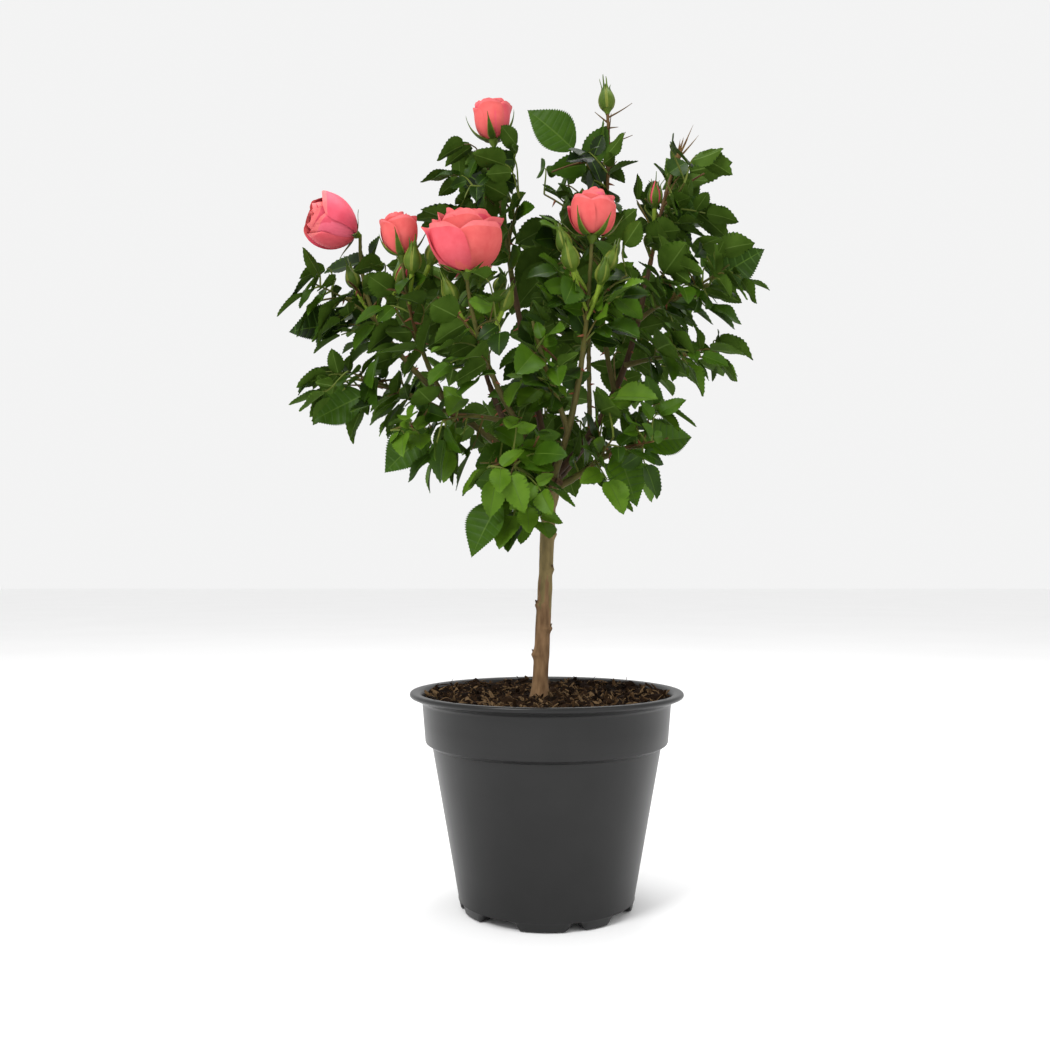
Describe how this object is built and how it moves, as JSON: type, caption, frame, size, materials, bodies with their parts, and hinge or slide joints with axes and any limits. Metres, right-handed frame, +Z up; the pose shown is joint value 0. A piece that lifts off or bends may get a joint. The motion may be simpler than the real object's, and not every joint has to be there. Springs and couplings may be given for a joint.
{
  "type": "potted standard rose",
  "caption": "Standard rose in a plain nursery pot: a straight bare trunk carries a round crown of leafy canes with coral pink roses and green buds.",
  "frame": {"origin": "middle of the pot's underside, on the surface it stands on", "axes": "+Z up along the pot's axis, -Y towards the picture's camera, +X to the camera's right"},
  "size_m": [0.3251, 0.2158, 0.5757],
  "materials": {
    "pot": "satin moulded",
    "soil": "loose crumbled",
    "bark": "rough bark",
    "cane": "smooth green bark with thorns",
    "foliage": "satin leaves"
  },
  "bodies": {
    "root": {"pot": "pot", "soil": "soil", "trunk": "bark", "bough_left_outer": "cane", "mass_left_outer": "foliage", "bough_left_inner": "cane", "mass_left_inner": "foliage", "bough_left_low": "cane", "mass_left_low": "foliage", "bough_front_left": "cane", "mass_front_left": "foliage", "bough_low_left": "cane", "mass_low_left": "foliage", "bough_low_front": "cane", "mass_low_front": "foliage", "bough_top_left": "cane", "mass_top_left": "foliage", "bough_centre": "cane", "mass_centre": "foliage", "bough_heart": "cane", "mass_heart": "foliage", "bough_top_right": "cane", "mass_top_right": "foliage", "bough_top_centre": "cane", "mass_top_centre": "foliage", "bough_right_mid": "cane", "mass_right_mid": "foliage", "bough_right_low": "cane", "mass_right_low": "foliage", "bough_low_right": "cane", "mass_low_right": "foliage", "bough_back_left": "cane", "mass_back_left": "foliage", "bough_back_low": "cane", "mass_back_low": "foliage", "bough_back_right": "cane", "mass_back_right": "foliage", "bough_back_centre": "cane", "mass_back_centre": "foliage"}
  },
  "joints": []
}
